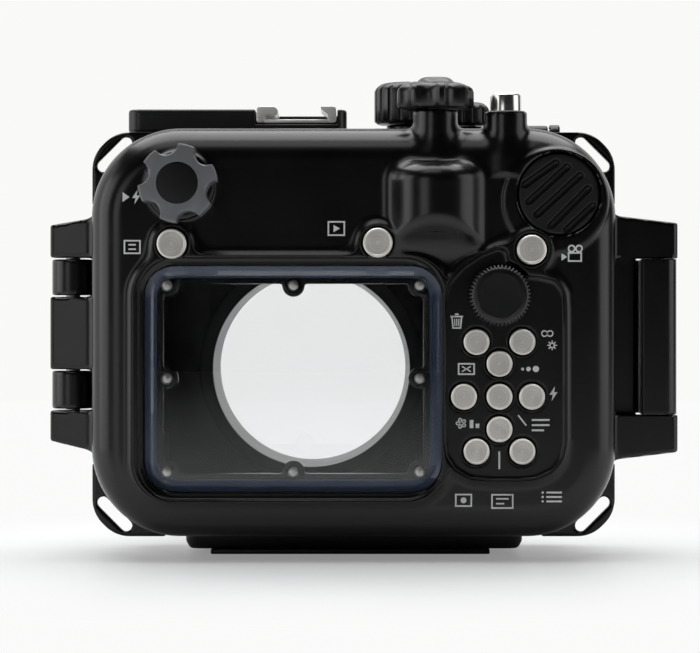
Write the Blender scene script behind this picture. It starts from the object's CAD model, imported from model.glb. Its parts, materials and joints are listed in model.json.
import json
import math

import bmesh
import bpy
import numpy as np
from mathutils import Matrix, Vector


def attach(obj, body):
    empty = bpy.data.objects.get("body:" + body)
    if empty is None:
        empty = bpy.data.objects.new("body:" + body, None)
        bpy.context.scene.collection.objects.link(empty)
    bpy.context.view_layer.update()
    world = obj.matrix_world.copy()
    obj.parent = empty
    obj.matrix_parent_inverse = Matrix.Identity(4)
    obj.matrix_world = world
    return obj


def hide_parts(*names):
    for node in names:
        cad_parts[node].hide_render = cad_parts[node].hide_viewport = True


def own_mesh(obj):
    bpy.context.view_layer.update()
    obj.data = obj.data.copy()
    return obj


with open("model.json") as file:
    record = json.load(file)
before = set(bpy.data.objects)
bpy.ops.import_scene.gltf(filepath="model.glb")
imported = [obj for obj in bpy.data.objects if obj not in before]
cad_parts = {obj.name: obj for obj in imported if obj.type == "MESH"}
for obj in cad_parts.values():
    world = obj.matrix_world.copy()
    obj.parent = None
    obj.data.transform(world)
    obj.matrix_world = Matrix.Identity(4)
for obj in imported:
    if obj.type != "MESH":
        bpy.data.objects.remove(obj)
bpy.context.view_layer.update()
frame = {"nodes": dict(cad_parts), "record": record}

MM = 0.001
TAU = 2 * math.pi
COARSE = 1.0

# Sizes of the case, in millimetres, as in the solids
WIDTH, HEIGHT, MIDDLE = 144.5, 112.8, 62.4
CORNER, EDGE, DRAFT, WALL = 25.0, 9.0, 0.6, 4.0
REAR, FRONT = 30.0, 34.0
REAR_WALL, FRONT_WALL, INNER_EDGE = 5.0, 4.0, 5.0
# Depths behind the joint plane: the flat face, the raised part on it, the floor of the keypad
FACE, RAISED, PANEL_FLOOR = 29.6, 30.7, 29.0
GAP = 0.3
PARTING = 0.15


# Distances and smooth joins, for forms given as fields that are negative inside

def smin(a, b, k):
    """The lower of two distances, with a fillet that is about k wide."""
    h = np.maximum(k - np.abs(a - b), 0) / k
    return np.minimum(a, b) - h * h * k * 0.25


def smax(a, b, k):
    return -smin(-a, -b, k)


def disc(across, up, centre, radius):
    return np.hypot(across - centre[0], up - centre[1]) - radius


def rect(across, up, half_width, half_height, radius):
    return corner_round(np.abs(across) - half_width, np.abs(up) - half_height, radius)


def corner_round(a, b, radius):
    a, b = a + radius, b + radius
    return np.hypot(np.maximum(a, 0), np.maximum(b, 0)) + np.minimum(np.maximum(a, b), 0) - radius


def slab(value, low, high):
    return np.maximum(low - value, value - high)


def polygon(across, up, points):
    """Signed distance to a closed outline."""
    best = np.full(np.broadcast(across, up).shape, 1e9, np.float32)
    inside = np.zeros(best.shape, bool)
    for i, (x1, z1) in enumerate(points):
        x0, z0 = points[i - 1]
        ex, ez = x1 - x0, z1 - z0
        wx, wz = across - x0, up - z0
        t = np.clip((wx * ex + wz * ez) / (ex * ex + ez * ez), 0, 1)
        best = np.minimum(best, (wx - ex * t) ** 2 + (wz - ez * t) ** 2)
        crosses = ((z0 <= up) & (up < z1)) | ((z1 <= up) & (up < z0))
        if ez:
            inside ^= crosses & (across < x0 + (up - z0) * ex / ez)
    best = np.sqrt(best)
    return np.where(inside, -best, best)


def rounded_path(points, radius, steps):
    """The corners of a closed outline replaced by arcs."""
    out = []
    for i, p in enumerate(points):
        p = np.array(p, float)
        a = np.array(points[i - 1], float) - p
        b = np.array(points[(i + 1) % len(points)], float) - p
        la, lb = np.linalg.norm(a), np.linalg.norm(b)
        half = math.acos(max(-1, min(1, float(a @ b) / (la * lb)))) / 2
        reach = min(radius / math.tan(half), la * 0.49, lb * 0.49)
        out += arc(p + a / la * reach, p, p + b / lb * reach, steps)
    return out


# Surfaces of fields

EDGES = [(axis, u, v) for axis in range(3) for u in (0, 1) for v in (0, 1)]


def net(values, xs, ys, zs):
    """Surface net through the zero of a field sampled on a lattice: points and quads."""
    inside = values < 0
    cells_along = [n - 1 for n in values.shape]
    count = np.zeros(cells_along, np.int8)
    for corner in np.ndindex(2, 2, 2):
        count += inside[tuple(slice(c, n + c) for c, n in zip(corner, cells_along))]
    cells = np.nonzero((count > 0) & (count < 8))
    index = np.full(count.shape, -1, np.int32)
    index[cells] = np.arange(len(cells[0]))
    axes = (xs, ys, zs)
    total = np.zeros((len(cells[0]), 3))
    hits = np.zeros(len(cells[0]))
    for axis, u, v in EDGES:
        low = list(cells)
        others = [n for n in range(3) if n != axis]
        low[others[0]] = low[others[0]] + u
        low[others[1]] = low[others[1]] + v
        high = list(low)
        high[axis] = high[axis] + 1
        a, b = values[tuple(low)], values[tuple(high)]
        cross = (a < 0) != (b < 0)
        t = np.where(cross, a / np.where(cross, a - b, 1), 0)
        place = np.stack([axes[n][low[n]] for n in range(3)], 1).astype(float)
        place[:, axis] += t * (axes[axis][high[axis]] - axes[axis][low[axis]])
        total[cross] += place[cross]
        hits[cross] += 1
    points = total / hits[:, None]
    quads = []
    for axis in range(3):
        low = [slice(None)] * 3
        high = [slice(None)] * 3
        low[axis], high[axis] = slice(0, -1), slice(1, None)
        cross = inside[tuple(low)] != inside[tuple(high)]
        u, v = [n for n in range(3) if n != axis]
        at = np.array(np.nonzero(cross))
        keep = (at[u] > 0) & (at[v] > 0) & (at[u] < values.shape[u] - 1) & (at[v] < values.shape[v] - 1)
        at = at[:, keep]
        ring = []
        for du, dv in ((-1, -1), (0, -1), (0, 0), (-1, 0)):
            c = at.copy()
            c[u] += du
            c[v] += dv
            ring.append(index[tuple(c)])
        quad = np.stack(ring, 1)
        outward = inside[tuple(low)][tuple(at)] != (axis == 1)
        quad[~outward] = quad[~outward][:, ::-1]
        quads.append(quad)
    return points, np.concatenate(quads)


def gradient(field, p, eps):
    out = np.zeros_like(p)
    for n in range(3):
        step = np.zeros(3)
        step[n] = eps
        q, r = p + step, p - step
        out[:, n] = (field(q[:, 0], q[:, 1], q[:, 2]) - field(r[:, 0], r[:, 1], r[:, 2])) / (2 * eps)
    return out


def skin(name, field, xs, ys, zs, rounds=2):
    """A mesh object round a field in millimetres."""
    xs, ys, zs = [np.asarray(v, np.float32) for v in (xs, ys, zs)]
    values = field(xs[:, None, None], ys[None, :, None], zs[None, None, :])
    values = np.broadcast_to(values, (len(xs), len(ys), len(zs)))
    points, quads = net(values, xs, ys, zs)
    for _ in range(rounds):
        slope = gradient(field, points, 0.03)
        size = np.maximum((slope ** 2).sum(1), 0.05)
        move = -(field(points[:, 0], points[:, 1], points[:, 2]) / size)[:, None] * slope
        length = np.linalg.norm(move, axis=1)
        move *= np.minimum(1, 0.25 / np.maximum(length, 1e-9))[:, None]
        points = points + move
    return mesh_object(name, points, quads)


def steps(*spans):
    """A lattice axis: (start, pitch), ..., end."""
    out = []
    for (start, pitch), after in zip(spans[:-1], spans[1:]):
        end = after[0] if isinstance(after, tuple) else after
        count = max(1, round((end - start) / (pitch * COARSE)))
        out.extend(start + (end - start) * i / count for i in range(count))
    return out + [spans[-1]]


def mesh_object(name, points, faces):
    """A smooth mesh object from points in millimetres. Faces are a list, or an array for a large mesh."""
    mesh = bpy.data.meshes.new(name)
    points = np.asarray(points, np.float64) * MM
    if isinstance(faces, np.ndarray):
        mesh.vertices.add(len(points))
        mesh.vertices.foreach_set("co", points.astype(np.float32).ravel())
        mesh.loops.add(faces.size)
        mesh.loops.foreach_set("vertex_index", faces.astype(np.int32).ravel())
        mesh.polygons.add(len(faces))
        mesh.polygons.foreach_set("loop_start", np.arange(len(faces), dtype=np.int32) * faces.shape[1])
        mesh.update(calc_edges=True)
    else:
        mesh.from_pydata([tuple(p) for p in points], [], [list(f) for f in faces])
        mesh.update()
    mesh.shade_smooth()
    made = bpy.data.objects.new(name, mesh)
    bpy.context.scene.collection.objects.link(made)
    return made


# Plain forms

AXES = {
    "x": lambda r, a, t: (t, r * math.cos(a), r * math.sin(a)),
    "y": lambda r, a, t: (r * math.cos(a), t, r * math.sin(a)),
    "z": lambda r, a, t: (r * math.cos(a), r * math.sin(a), t),
}


def outward(made):
    bm = bmesh.new()
    bm.from_mesh(made.data)
    bmesh.ops.recalc_face_normals(bm, faces=bm.faces)
    bm.to_mesh(made.data)
    bm.free()
    return made


def crisp(made, degrees=35):
    made.data.shade_smooth()
    made.data.set_sharp_from_angle(angle=math.radians(degrees))
    return made


def lathe(name, profile, axis, at, count=64, sharp=35):
    """A turned form. A profile that starts and ends on the axis is solid, and any other is a ring."""
    place = AXES[axis]
    points, faces, rows = [], [], []
    closed = profile[0][0] > 1e-6
    for r, t in profile:
        if r < 1e-6:
            rows.append([len(points)])
            points.append(place(0, 0, t))
        else:
            rows.append(list(range(len(points), len(points) + count)))
            points.extend(place(r, TAU * i / count, t) for i in range(count))
    pairs = list(zip(rows, rows[1:])) + ([(rows[-1], rows[0])] if closed else [])
    for low, high in pairs:
        for i in range(count):
            j = (i + 1) % count
            ring = [low[i % len(low)], low[j % len(low)], high[j % len(high)], high[i % len(high)]]
            face = []
            for v in ring:
                if v not in face:
                    face.append(v)
            if len(face) > 2:
                faces.append(face)
    points = [tuple(a + b for a, b in zip(p, at)) for p in points]
    return crisp(outward(mesh_object(name, points, faces)), sharp)


def arc(first, corner, last, count):
    """Points on a curve from the first point to the last, led by the corner between them."""
    return [tuple((1 - t) ** 2 * first + 2 * t * (1 - t) * corner + t * t * last)
            for t in (j / count for j in range(count + 1))]


def rounded_profile(profile, radii):
    """Corners of a profile replaced by arcs of the given radii, zero to keep one sharp."""
    out = []
    for i, (p, radius) in enumerate(zip(profile, radii)):
        if radius <= 0 or i in (0, len(profile) - 1):
            out.append(p)
            continue
        here = np.array(p, float)
        a, b = np.array(profile[i - 1], float) - here, np.array(profile[i + 1], float) - here
        la, lb = np.linalg.norm(a), np.linalg.norm(b)
        reach = min(radius, la * 0.49, lb * 0.49)
        out += arc(here + a / la * reach, here, here + b / lb * reach, 4)
    return out


def stacked(name, rings, sharp=40):
    """A form through rings of points, capped at both ends."""
    count = len(rings[0])
    points = [p for ring in rings for p in ring]
    faces = []
    for row in range(len(rings) - 1):
        for i in range(count):
            j = (i + 1) % count
            a, b = row * count, (row + 1) * count
            faces.append((a + i, a + j, b + j, b + i))
    faces.append(tuple(range(count)))
    faces.append(tuple(range(len(points) - count, len(points))))
    return crisp(outward(mesh_object(name, points, faces)), sharp)


BEVEL_FROM = math.radians(28)


def prism(name, outline, axis, low, high, bevel, segments=3):
    """An outline drawn out along an axis, with its edges rounded."""
    at = "xyz".index(axis)
    rings = [[(*p[:at], t, *p[at:]) for p in outline] for t in (low, high)]
    made = stacked(name, rings)
    if bevel:
        bm = bmesh.new()
        bm.from_mesh(made.data)
        edges = [e for e in bm.edges if len(e.link_faces) == 2 and e.calc_face_angle(0) > BEVEL_FROM]
        bmesh.ops.bevel(bm, geom=edges, offset=bevel * MM, segments=segments, profile=0.5, affect="EDGES",
                        clamp_overlap=True)
        bmesh.ops.recalc_face_normals(bm, faces=bm.faces)
        bm.to_mesh(made.data)
        bm.free()
        crisp(made)
    return made


def box(name, x, y, z, bevel):
    outline = [(x[0], y[0]), (x[1], y[0]), (x[1], y[1]), (x[0], y[1])]
    return prism(name, outline, "z", *z, bevel)


def joined(name, parts):
    """Several meshes as one object."""
    bm = bmesh.new()
    for part in parts:
        bm.from_mesh(part.data)
        bpy.data.objects.remove(part)
    mesh = bpy.data.meshes.new(name)
    bm.to_mesh(mesh)
    bm.free()
    made = bpy.data.objects.new(name, mesh)
    bpy.context.scene.collection.objects.link(made)
    return made


def cut(made, *tools):
    """Cuts closed tools out of a closed mesh."""
    for tool in tools:
        change = made.modifiers.new("cut", "BOOLEAN")
        change.operation = "DIFFERENCE"
        change.solver = "MANIFOLD"
        change.object = tool
        baked(made)
        bpy.data.objects.remove(tool)
    return made


def baked(made):
    """Applies an object's modifiers."""
    graph = bpy.context.evaluated_depsgraph_get()
    mesh = bpy.data.meshes.new_from_object(made.evaluated_get(graph))
    made.modifiers.clear()
    made.data = mesh


# Materials

def node(tree, kind, *sources, **values):
    """A shader node with the given settings and values, its first inputs linked to the sources."""
    made = tree.nodes.new(kind)
    for key, value in values.items():
        if key in made.inputs:
            made.inputs[key].default_value = value
        else:
            setattr(made, key, value)
    for source, target in zip(sources, made.inputs):
        tree.links.new(source, target)
    return made


def mapped(tree, value, before, after, **values):
    """A value carried from one span of numbers to another."""
    spans = {"From Min": before[0], "From Max": before[1], "To Min": after[0], "To Max": after[1]}
    return node(tree, "ShaderNodeMapRange", value, **spans, **values).outputs["Result"]


def between(tree, share, first, second):
    """Shows the second of two shaders by a share, at the material's or world's output."""
    mix = node(tree, "ShaderNodeMixShader", share, first, second)
    out = tree.nodes.get("Material Output") or node(tree, "ShaderNodeOutputWorld")
    tree.links.new(mix.outputs[0], out.inputs["Surface"])


BROAD = 12
GRAIN_DEPTH = 0.00002


def finish(name, colour, roughness, metallic=0.0, vary=0.12, rough_vary=0.05, scale=900, grain=0.02,
           grain_scale=2500, specular=0.5, turned=None):
    """A procedural finish: colour, gloss and relief vary over it. Turned is the axis of a lathe's marks."""
    made = bpy.data.materials.new(name)
    made.use_nodes = True
    tree = made.node_tree
    shader = tree.nodes["Principled BSDF"]
    shader.inputs["Metallic"].default_value = metallic
    shader.inputs["Specular IOR Level"].default_value = specular
    if turned:
        shader.inputs["Anisotropic"].default_value = 0.75
        around = node(tree, "ShaderNodeTangent", direction_type="RADIAL", axis=turned)
        tree.links.new(around.outputs[0], shader.inputs["Tangent"])
    place = node(tree, "ShaderNodeTexCoord").outputs["Object"]
    broad = node(tree, "ShaderNodeTexNoise", place, Scale=scale / BROAD, Detail=4.0).outputs["Fac"]
    fine = node(tree, "ShaderNodeTexNoise", place, Scale=grain_scale, Detail=2.0).outputs["Fac"]
    ramp = node(tree, "ShaderNodeValToRGB", broad)
    for stop, position, share in zip(ramp.color_ramp.elements, (0.3, 0.7), (1 - vary, 1 + vary)):
        stop.position = position
        stop.color = [min(1, c * share) for c in colour] + [1]
    tree.links.new(ramp.outputs["Color"], shader.inputs["Base Color"])
    gloss = mapped(tree, broad, (0, 1), (max(0, roughness - rough_vary), min(1, roughness + rough_vary)))
    tree.links.new(gloss, shader.inputs["Roughness"])
    bump = node(tree, "ShaderNodeBump", Strength=grain * 10, Distance=GRAIN_DEPTH)
    tree.links.new(fine, bump.inputs["Height"])
    tree.links.new(bump.outputs["Normal"], shader.inputs["Normal"])
    return made


def clear(name, tint):
    """Clear moulding: it transmits, with a little haze that varies over it."""
    made = finish(name, tint, 0.005, vary=0.015, rough_vary=0.003, scale=300, grain=0.002, grain_scale=400)
    shader = made.node_tree.nodes["Principled BSDF"]
    shader.inputs["Transmission Weight"].default_value = 1.0
    shader.inputs["IOR"].default_value = 1.49
    return made


STEEL_COLOUR = (0.66, 0.635, 0.59)
SHELL = finish("moulded_shell", (0.0007, 0.0008, 0.0009), 0.25, grain=0.012, grain_scale=3200, specular=0.44)
KNOB = finish("moulded_knob", (0.003, 0.0032, 0.0034), 0.3, grain=0.04, grain_scale=2600)
RUBBER = finish("rubber", (0.0045, 0.0047, 0.005), 0.42, grain=0.06, grain_scale=1800, specular=0.35)
ANODISED = finish("anodised", (0.01, 0.0105, 0.0115), 0.33, metallic=0.2, grain=0.03, grain_scale=3600)
STEEL = finish("turned_steel", STEEL_COLOUR, 0.42, metallic=0.8, vary=0.06, grain=0.04, grain_scale=5200)


def turned_cap():
    """Fine rings on the face of a button inside a bright rim."""
    made = finish("turned_cap", STEEL_COLOUR, 0.4, metallic=0.65, vary=0.06, grain=0.04, grain_scale=5200,
                  turned="Y")
    tree = made.node_tree
    shader = tree.nodes["Principled BSDF"]
    place = node(tree, "ShaderNodeTexCoord").outputs["Generated"]
    centred = node(tree, "ShaderNodeVectorMath", place, operation="MULTIPLY_ADD")
    centred.inputs[1].default_value = (1, 0, 1)
    centred.inputs[2].default_value = (-0.5, 0, -0.5)
    radius = node(tree, "ShaderNodeVectorMath", centred.outputs[0], operation="LENGTH").outputs["Value"]
    rings = node(tree, "ShaderNodeTexNoise", noise_dimensions="1D", Scale=26.0, Detail=2.0)
    tree.links.new(radius, rings.inputs["W"])
    tone = mapped(tree, rings.outputs["Fac"], (0.3, 0.7), (0.8, 1.1))
    rim = mapped(tree, radius, (0.41, 0.43), (0, 1.45))
    level = node(tree, "ShaderNodeMath", tone, rim, operation="MAXIMUM").outputs[0]
    base = shader.inputs["Base Color"].links[0].from_socket
    scaled = node(tree, "ShaderNodeVectorMath", base, operation="SCALE")
    tree.links.new(level, scaled.inputs["Scale"])
    tree.links.new(scaled.outputs[0], shader.inputs["Base Color"])
    return made


CAP = turned_cap()
RAIL = finish("plated_steel", (0.85, 0.84, 0.82), 0.36, metallic=0.4, vary=0.05, grain_scale=2400)
POLISHED = finish("polished_steel", (0.8, 0.79, 0.77), 0.22, metallic=1.0, vary=0.05, grain_scale=2400)
BRASS = finish("machined_brass", (0.62, 0.45, 0.2), 0.3, metallic=1.0, vary=0.08)
SEAL = finish("silicone", (0.035, 0.06, 0.125), 0.4, vary=0.08)
METAL = finish("satin_aluminium", (0.15, 0.153, 0.162), 0.46, metallic=0.35, grain=0.05, grain_scale=4200)
INK = finish("printed_mark", (0.62, 0.63, 0.62), 0.55, vary=0.05)
PANE = clear("clear_pane", (0.965, 0.982, 1.0))
LENS = clear("clear_lens", (0.995, 0.998, 0.995))

SLOTS = {
    "shell_black": SHELL, "knob_black": KNOB, "rubber_black": RUBBER, "seal_grey": SEAL,
    "brushed_steel": STEEL, "anodised_black": ANODISED, "brass_yellow": BRASS, "clear_pane": PANE,
}


def dress(made, body, nodes, slot, material=None):
    """Places a piece on its body, in place of the CAD nodes that it stands for."""
    made.data.materials.clear()
    made.data.materials.append(material or SLOTS[slot])
    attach(made, body)
    if nodes:
        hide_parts(*([nodes] if isinstance(nodes, str) else nodes))


# Outlines on the rear face, in X and Z

PANEL = rounded_path([
    (24.6, 71.4), (25.8, 76.0), (29.6, 80.3), (34.5, 83.6), (39.4, 85.4), (41.2, 84.4), (41.6, 81.6),
    (43.5, 78.9), (46.2, 77.6), (50.6, 77.2), (54.8, 76.1), (56.8, 73.2), (57.1, 68.0), (57.1, 33.0),
    (56.3, 28.4), (53.7, 25.0), (49.5, 23.0), (45.0, 22.5), (37.0, 22.5), (31.6, 23.0), (27.6, 25.2),
    (25.2, 28.8), (24.6, 33.4),
], 3.0, 3)
WINDOW = (-16.4, 49.8)
RECESS = (-17.1, 49.8, 41.1, 32.6)
BOSSES = {"function_button": (-49.1, 86.3), "playback_button": (6.5, 86.6), "movie_button": (48.0, 84.7)}
KEY = (39.4, 45.0)
KEYS = {
    "delete_button": (-6.2, 14.8), "link_button": (6.2, 14.8), "up_button": (0, 8.9), "left_button": (-9.6, 0),
    "set_button": (0, 0), "right_button": (8.8, 0), "down_button": (0, -8.8), "display_button": (-6.2, -14.8),
    "menu_button": (6.2, -14.8),
}
KEYS = {name: (KEY[0] + x, KEY[1] + z) for name, (x, z) in KEYS.items()}
DIAL, THUMB, PAD, FLASH = (39.3, 72.3), (54.7, 98.0), (55.5, 99.8), (-47.0, 102.2)
STEM, POWER, MODE, ZOOM = (22.3, -24.0), (41.5, -24.0), (16.5, 15.0), (33.2, 20.0)
PORT = (-12.3, 51.7)
HINGE, BARREL = -79.0, 5.87
SCREWS = [(WINDOW[0] + 34.3 * i, WINDOW[1] + 25.3 * k) for k in (1, 0, -1) for i in (-1, 0, 1) if i or k]
REAR_KNUCKLES = ((31.3, 40.5), (52.0, 72.35), (83.3, 93.1))
FRONT_KNUCKLES = ((40.95, 51.55), (72.8, 82.85))
# The hinge's outer edge, where its webs end, and the room round the other shell's knuckles
HINGE_EDGE, WEB_END, HINGE_ROOM = -84.9, -66.0, 6.5
# Height at the outer edge and slope of the hinge's lower and upper end
HINGE_FOOT, HINGE_HEAD, END_ROUND = (32.0, -0.235), (92.35, 0.164), 0.9
LATCH_AXIS, LATCH_REACH = (85.2, -4.2), (60.0, 90.4)
# Ears round the latch's pin: heights of the outer end, which is tilted, and the inner one, and the way out
EARS, EAR_TILT, EAR_START = ((26.9, 39.3, -1), (94.9, 83.0, 1)), 0.12, 73.0
LEVER, LEVER_AXIS, PLUNGER, TRIPOD = 50, (12, 119.4), (50, 23), (PORT[0], 15)
LUG_MIDDLE, DIAGONAL = MIDDLE - 0.6, math.sqrt(0.5)
# Low bosses on the rear face: centre, radius, depth and softness of the rim
DISCS = ((THUMB, 14.3, 30.0, 0.9), (FLASH, 9.4, 31.7, 0.8))
# Wells round the buttons: centre, radius and depth of the floor
WELLS = [(at, 4.5, 29.1) for at in BOSSES.values()] + [(at, 3.85, 27.5) for at in KEYS.values()]
# Grooves of the grip on the front shell, in X, and the depth of their floor
GRIP, GRIP_FLOOR = (40.0, 46.0, 52.0, 58.0), 33.2


def case_side(x, z):
    return rect(x, z - MIDDLE, WIDTH / 2, HEIGHT / 2, CORNER)


def plateau_edge(x, z):
    """Distance to the outline of the raised part round the window, the buttons and the keypad."""
    edge = rect(x - RECESS[0], z - RECESS[1], 43.0, 33.4, 11.0)
    edge = smin(edge, polygon(x, z, PANEL) - 0.5, 2.0)
    for name, at in BOSSES.items():
        edge = smin(edge, disc(x, z, at, 5.6 if name == "movie_button" else 5.2), 5.0)
    return edge


def post(x, y, z, at, radius, low, high, soft):
    """An upright boss with a soft rim."""
    return smax(smax(disc(x, y, at, radius), z - high, soft), low - z, 0.5)


def hinge_ends(x, low, high):
    """The lowest and the highest knuckle of the rear shell have sloped ends."""
    if low == REAR_KNUCKLES[0][0]:
        low = HINGE_FOOT[0] + HINGE_FOOT[1] * (x - HINGE_EDGE)
    if high == REAR_KNUCKLES[-1][1]:
        high = HINGE_HEAD[0] + HINGE_HEAD[1] * (x - HINGE_EDGE)
    return low, high


def latch_ears(form, x, y, z):
    """The two ears that hold the latch's pin. Their outer ends are tilted."""
    for outer, inner, way in EARS:
        ear = corner_round(slab(x, *LATCH_REACH), slab(y, -9.0, -GAP), 1.8)
        ear = smax(ear, way * (inner - z), 0.2)
        ear = smax(ear, way * (z - outer) + EAR_TILT * (x - EAR_START), 0.6)
        form = smin(form, ear, 2.6)
    return form


def rear_outside(x, y, z):
    side = case_side(x, z) + DRAFT * np.clip(-y / (REAR - EDGE), 0, 1)
    foot = np.clip(1 - plateau_edge(x, z) / 2.3, 0, 1) ** 2
    form = corner_round(side, -y - FACE - (RAISED - FACE) * foot, EDGE)
    for at, radius, depth, soft in DISCS:
        boss = smax(disc(x, z, at, radius), -y - depth, soft)
        form = smin(form, np.maximum(boss, y + 9), 0.8)
    bump = corner_round(disc(x, y, STEM, 13.5), z - 108.3, 5.0)
    bump = smax(bump, 0.692 * (-30.2 - y) + 0.722 * (85.5 - z), 1.5)
    form = smin(form, bump, 3.0)
    form = smin(form, post(x, y, z, STEM, 6.0, 96, 122.9, 0.8), 2.6)
    form = smin(form, post(x, y, z, POWER, 5.75, 106, 122.6, 1.0), 2.2)
    barrel = disc(x, y, (HINGE, 0), BARREL)
    back = 0.163 * (-74.0 - x) - 0.987 * (y + 7.0)
    web = np.maximum(slab(x, HINGE - BARREL, WEB_END), np.maximum(back, y + GAP))
    for low, high in REAR_KNUCKLES:
        ends = slab(z, *hinge_ends(x, low, high))
        knuckle = smax(smin(smax(barrel, y, 0.4), web, 0.3), ends, 0.7)
        form = smin(form, knuckle, 3.0)
    form = np.maximum(latch_ears(form, x, y, z), y + PARTING)
    for low, high in REAR_KNUCKLES:
        low += END_ROUND if low == REAR_KNUCKLES[0][0] else 0
        high -= END_ROUND if high == REAR_KNUCKLES[-1][1] else 0
        form = np.minimum(form, smax(barrel, slab(z, low, high), 0.6))
    return form


def clear_of(form, knuckles, x, y, z):
    """Room round the knuckles of the other shell."""
    around = disc(x, y, (HINGE, 0), HINGE_ROOM)
    for low, high in knuckles:
        form = np.maximum(form, -np.maximum(around, slab(z, low - GAP, high + GAP)))
    return form


def rear_field(x, y, z):
    form = rear_outside(x, y, z)
    hollows = smax(rect(x - RECESS[0], z - RECESS[1], RECESS[2], RECESS[3], 10.0), y + 28.7, 0.5)
    for outline in (polygon(x, z, PANEL), disc(x, z, DIAL, 9.2)):
        hollows = np.minimum(hollows, smax(outline, y + PANEL_FLOOR, 0.5))
    form = smax(form, -hollows, 0.6)
    across, up = x - WINDOW[0], z - WINDOW[1]
    pane = np.maximum(rect(across, up, 40.5, 30.8, 8.3), y + 24.3)
    opening = rect(across, up, 35.4, 25.8, 4.5)
    for at in SCREWS:
        opening = smax(opening, -disc(x, z, at, 3.0), 0.8)
    pane = np.minimum(pane, np.maximum(opening, y + 17.5))
    form = smax(form, -pane, 0.35)
    wells = smax(disc(x, z, PAD, 11.35), y + 27.6, 0.3)
    for at, radius, depth in WELLS:
        wells = np.minimum(wells, np.maximum(disc(x, z, at, radius), y + depth))
    form = smax(form, -wells, 0.4)
    form = smax(form, -np.maximum(disc(x, y, POWER, 4.6), 117.5 - z), 0.5)
    return clear_of(form, FRONT_KNUCKLES, x, y, z)


def cylinder(name, axis, at, radius, low, high, count=32):
    return lathe(name, [(0, low), (radius, low), (radius, high), (0, high)], axis, at, count)


def rounded_ring(half_width, half_height, radius, centre, along, count=10):
    ring = []
    for quarter, (sx, sz) in enumerate(((1, 1), (-1, 1), (-1, -1), (1, -1))):
        for i in range(count + 1):
            angle = math.pi / 2 * (quarter + i / count)
            ring.append((centre[0] + sx * (half_width - radius) + radius * math.cos(angle), along,
                         centre[1] + sz * (half_height - radius) + radius * math.sin(angle)))
    return ring


def half_block(side, start, reach, inset, edge):
    """One half of the case form, as in the solids."""
    levels = [(inset, start)]
    for i in range(7):
        angle = math.pi / 2 * i / 6
        levels.append((inset + DRAFT + edge * (1 - math.cos(angle)), reach - edge + edge * math.sin(angle)))
    rings = [rounded_ring(WIDTH / 2 - shrink, HEIGHT / 2 - shrink, CORNER - shrink, (0, MIDDLE), side * along)
             for shrink, along in levels]
    return stacked("hollow", rings)


def plateau_path():
    """The outline of the raised part, traced on a grid."""
    xs, zs = np.arange(-66, 66, 0.5), np.arange(10, 98, 0.5)
    values = plateau_edge(xs[:, None], zs[None, :])
    places = {}
    for i, j in zip(*np.nonzero(np.diff(values < 0, axis=0))):
        t = values[i, j] / (values[i, j] - values[i + 1, j])
        for cell in ((i, j - 1), (i, j)):
            places.setdefault(cell, []).append((xs[i] + t * 0.5, zs[j]))
    for i, j in zip(*np.nonzero(np.diff(values < 0, axis=1))):
        t = values[i, j] / (values[i, j] - values[i, j + 1])
        for cell in ((i - 1, j), (i, j)):
            places.setdefault(cell, []).append((xs[i], zs[j] + t * 0.5))
    ways = {}
    for cell, ends in places.items():
        for end in ends[:2]:
            ways.setdefault(end, []).append(ends[1] if end == ends[0] else ends[0])
    path = [min(ways)]
    step = ways[path[0]][0]
    while step != path[0]:
        path.append(step)
        step = next(p for p in ways[step] if p != path[-2])
    rough = np.array(path)
    smooth = sum(np.roll(rough, n, 0) for n in range(-2, 3)) / 5
    return list(smooth[::2])


def bead(path, depth, radius):
    """A thin round line along an edge of the rear face."""
    path = [np.array(p, float) for p in path]
    points, faces, count = [], [], 6
    for i, p in enumerate(path):
        way = path[(i + 1) % len(path)] - path[i - 1]
        side = np.array((-way[1], way[0])) / np.linalg.norm(way)
        for j in range(count):
            angle = TAU * j / count
            x, z = p + side * radius * math.cos(angle)
            points.append((x, depth + radius * math.sin(angle), z))
        low, high = (i - 1) % len(path) * count, i * count
        faces += [(low + j, low + (j + 1) % count, high + (j + 1) % count, high + j) for j in range(count)]
    return outward(mesh_object("bead", points, faces))


def bore(axis, at, *sizes):
    """A hole along an axis through a point of the plane across it."""
    place = list(at)
    place.insert("xyz".index(axis), 0)
    return cylinder("bore", axis, place, *sizes)


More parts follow.
